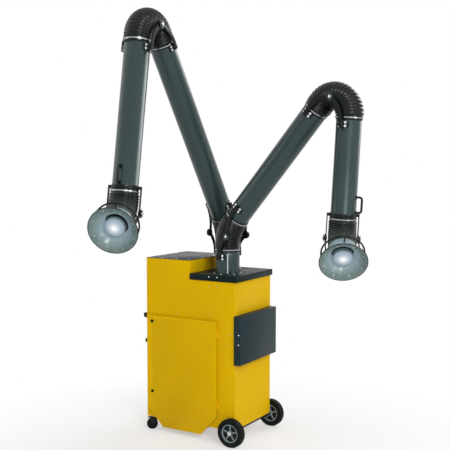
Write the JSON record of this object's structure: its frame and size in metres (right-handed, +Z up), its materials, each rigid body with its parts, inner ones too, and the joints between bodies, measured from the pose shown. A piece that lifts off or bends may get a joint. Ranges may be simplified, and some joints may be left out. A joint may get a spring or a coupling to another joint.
{
  "type": "portable fume extractor",
  "caption": "Wheeled filter and fan cabinet with two jointed extraction arms, each ending in a lit, tilting hood.",
  "frame": {"origin": "centre of the standing footprint of the whole object's box, on the floor, with the arms as pictured", "axes": "+X along the door face towards the low deck end, +Y from the door face towards the far side, +Z up"},
  "size_m": [1.7094, 1.7113, 2.7404],
  "materials": {
    "yellow_paint": "glossy yellow powder coat",
    "dark_paint": "satin charcoal powder coat",
    "tube_paint": "satin dark green-grey paint",
    "bracket_black": "satin black paint",
    "hose_black": "ribbed black coated fabric",
    "hood_plastic": "translucent grey-green moulding",
    "ring_grey": "grey painted rod and clamp",
    "lamp_glass": "frosted lamp glass",
    "black_plastic": "moulded black",
    "zinc_steel": "zinc plated",
    "cast_grey": "grey motor enamel",
    "filter_paper": "pleated filter paper",
    "tyre": "solid black rubber",
    "wheel_grey": "grey moulded hub"
  },
  "bodies": {
    "root": {"cabinet_shell": "yellow_paint", "tower_lid": "dark_paint", "deck_cap": "dark_paint", "deck_flanges": "tube_paint", "dust_hopper": "yellow_paint", "exhaust_box": "dark_paint", "control_panel": "dark_paint", "power_inlet": "black_plastic", "filter_plate": "zinc_steel", "filter_cartridge": "filter_paper", "fan_scroll": "zinc_steel", "fan_motor": "cast_grey", "door_hinges": "zinc_steel", "wheel_axle": "zinc_steel", "caster_plates": "zinc_steel"},
    "impeller": {"impeller": "zinc_steel"},
    "filter_door": {"filter_door": "yellow_paint"},
    "door_latch_upper": {"door_latch_upper": "zinc_steel"},
    "door_latch_lower": {"door_latch_lower": "zinc_steel"},
    "main_switch": {"main_switch": "black_plastic"},
    "front_wheel": {"front_wheel_tyre": "tyre", "front_wheel_rim": "wheel_grey"},
    "front_caster_fork": {"front_caster_fork": "zinc_steel"},
    "front_caster_wheel": {"front_caster_wheel": "tyre"},
    "back_wheel": {"back_wheel_tyre": "tyre", "back_wheel_rim": "wheel_grey"},
    "back_caster_fork": {"back_caster_fork": "zinc_steel"},
    "back_caster_wheel": {"back_caster_wheel": "tyre"},
    "long_turret": {"long_arm_turret": "tube_paint", "long_arm_turret_brackets": "bracket_black", "long_arm_shoulder_hose": "hose_black"},
    "long_inner": {"long_arm_inner_tube": "tube_paint", "long_arm_inner_brackets": "bracket_black", "long_arm_elbow_hose": "hose_black"},
    "long_outer": {"long_arm_outer_tube": "tube_paint", "long_arm_outer_brackets": "bracket_black", "long_arm_grip": "bracket_black"},
    "long_damper": {"long_arm_damper": "zinc_steel"},
    "long_nose": {"long_arm_nose_yoke": "bracket_black", "long_arm_nose_hose": "hose_black"},
    "long_hood": {"long_arm_hood": "hood_plastic", "long_arm_hood_ring": "ring_grey", "long_arm_lamp": "lamp_glass"},
    "short_turret": {"short_arm_turret": "tube_paint", "short_arm_turret_brackets": "bracket_black", "short_arm_shoulder_hose": "hose_black"},
    "short_inner": {"short_arm_inner_tube": "tube_paint", "short_arm_inner_brackets": "bracket_black", "short_arm_elbow_hose": "hose_black"},
    "short_outer": {"short_arm_outer_tube": "tube_paint", "short_arm_outer_brackets": "bracket_black", "short_arm_grip": "bracket_black"},
    "short_damper": {"short_arm_damper": "zinc_steel"},
    "short_nose": {"short_arm_nose_yoke": "bracket_black", "short_arm_nose_hose": "hose_black"},
    "short_hood": {"short_arm_hood": "hood_plastic", "short_arm_hood_ring": "ring_grey", "short_arm_lamp": "lamp_glass"}
  },
  "joints": [
    {"name": "impeller_spin", "type": "hinge", "parent": "root", "child": "impeller", "pos_m": [-0.636, 0.554, 0.896], "axis": [0, 0, 1], "continuous": true},
    {"name": "door_swing", "type": "hinge", "parent": "root", "child": "filter_door", "pos_m": [-0.2442, 0.3052, 0.496], "axis": [0, 0, 1], "range_deg": [0, 100]},
    {"name": "latch_upper_turn", "type": "hinge", "parent": "filter_door", "child": "door_latch_upper", "pos_m": [-0.758, 0.31, 0.768], "axis": [0, -1, 0], "range_deg": [0, 90]},
    {"name": "latch_lower_turn", "type": "hinge", "parent": "filter_door", "child": "door_latch_lower", "pos_m": [-0.758, 0.31, 0.282], "axis": [0, -1, 0], "range_deg": [0, 90]},
    {"name": "main_switch_turn", "type": "hinge", "parent": "root", "child": "main_switch", "pos_m": [-0.814, 0.334, 0.797], "axis": [-1, 0, 0], "range_deg": [0, 90]},
    {"name": "front_wheel_roll", "type": "hinge", "parent": "root", "child": "front_wheel", "pos_m": [-0.12, 0.554, 0.094], "axis": [0, 1, 0], "continuous": true},
    {"name": "back_wheel_roll", "type": "hinge", "parent": "root", "child": "back_wheel", "pos_m": [-0.12, 0.554, 0.094], "axis": [0, 1, 0], "continuous": true},
    {"name": "front_caster_swivel", "type": "hinge", "parent": "root", "child": "front_caster_fork", "pos_m": [-0.76611, 0.35481, 0.076], "axis": [0, 0, 1], "continuous": true},
    {"name": "front_caster_roll", "type": "hinge", "parent": "front_caster_fork", "child": "front_caster_wheel", "pos_m": [-0.792, 0.336, 0.038], "axis": [0.5878, -0.809, 0], "continuous": true},
    {"name": "back_caster_swivel", "type": "hinge", "parent": "root", "child": "back_caster_fork", "pos_m": [-0.76611, 0.75319, 0.076], "axis": [0, 0, 1], "continuous": true},
    {"name": "back_caster_roll", "type": "hinge", "parent": "back_caster_fork", "child": "back_caster_wheel", "pos_m": [-0.792, 0.772, 0.038], "axis": [-0.5878, -0.809, 0], "continuous": true},
    {"name": "long_swivel", "type": "hinge", "parent": "root", "child": "long_turret", "pos_m": [-0.358, 0.629, 1.114], "axis": [0, 0, 1], "range_deg": [-80, 40]},
    {"name": "long_shoulder", "type": "hinge", "parent": "long_turret", "child": "long_inner", "pos_m": [-0.35465, 0.55407, 1.372], "axis": [0.999, 0.0447, 0], "range_deg": [-30, 45], "deforming": ["long_arm_shoulder_hose"]},
    {"name": "long_elbow", "type": "hinge", "parent": "long_inner", "child": "long_outer", "pos_m": [-0.31424, -0.34964, 2.63556], "axis": [-0.999, -0.0447, 0], "range_deg": [-20, 100], "deforming": ["long_arm_elbow_hose"]},
    {"name": "long_damper_turn", "type": "hinge", "parent": "long_outer", "child": "long_damper", "pos_m": [-0.30522, -0.5514, 1.85682], "axis": [0.0441, -0.9862, 0.1597], "range_deg": [0, 90]},
    {"name": "long_nose_swivel", "type": "hinge", "parent": "long_outer", "child": "long_nose", "pos_m": [-0.30387, -0.58172, 1.66926], "axis": [0.0071, -0.1595, -0.9872], "range_deg": [-170, 170]},
    {"name": "long_hood_tilt", "type": "hinge", "parent": "long_nose", "child": "long_hood", "pos_m": [-0.30312, -0.59847, 1.5656], "axis": [-0.9203, -0.3872, 0.0559], "range_deg": [-57, 30], "deforming": ["long_arm_nose_hose"]},
    {"name": "short_swivel", "type": "hinge", "parent": "root", "child": "short_turret", "pos_m": [-0.224, 0.408, 1.114], "axis": [0, 0, 1], "range_deg": [-50, 35]},
    {"name": "short_shoulder", "type": "hinge", "parent": "short_turret", "child": "short_inner", "pos_m": [-0.14984, 0.39682, 1.372], "axis": [0.149, 0.9888, 0], "range_deg": [-30, 45], "deforming": ["short_arm_shoulder_hose"]},
    {"name": "short_elbow", "type": "hinge", "parent": "short_inner", "child": "short_outer", "pos_m": [0.62, 0.28081, 2.22789], "axis": [-0.149, -0.9888, 0], "range_deg": [-18, 100], "deforming": ["short_arm_elbow_hose"]},
    {"name": "short_damper_turn", "type": "hinge", "parent": "short_outer", "child": "short_damper", "pos_m": [0.6611, 0.27461, 1.69125], "axis": [0.9869, -0.1487, -0.0624], "range_deg": [0, 90]},
    {"name": "short_nose_swivel", "type": "hinge", "parent": "short_outer", "child": "short_nose", "pos_m": [0.64937, 0.27638, 1.50162], "axis": [-0.0617, 0.0093, -0.998], "range_deg": [-170, 170]},
    {"name": "short_hood_tilt", "type": "hinge", "parent": "short_nose", "child": "short_hood", "pos_m": [0.64289, 0.27736, 1.39682], "axis": [-0.8711, -0.4885, 0.0493], "range_deg": [-57, 30], "deforming": ["short_arm_nose_hose"]}
  ]
}
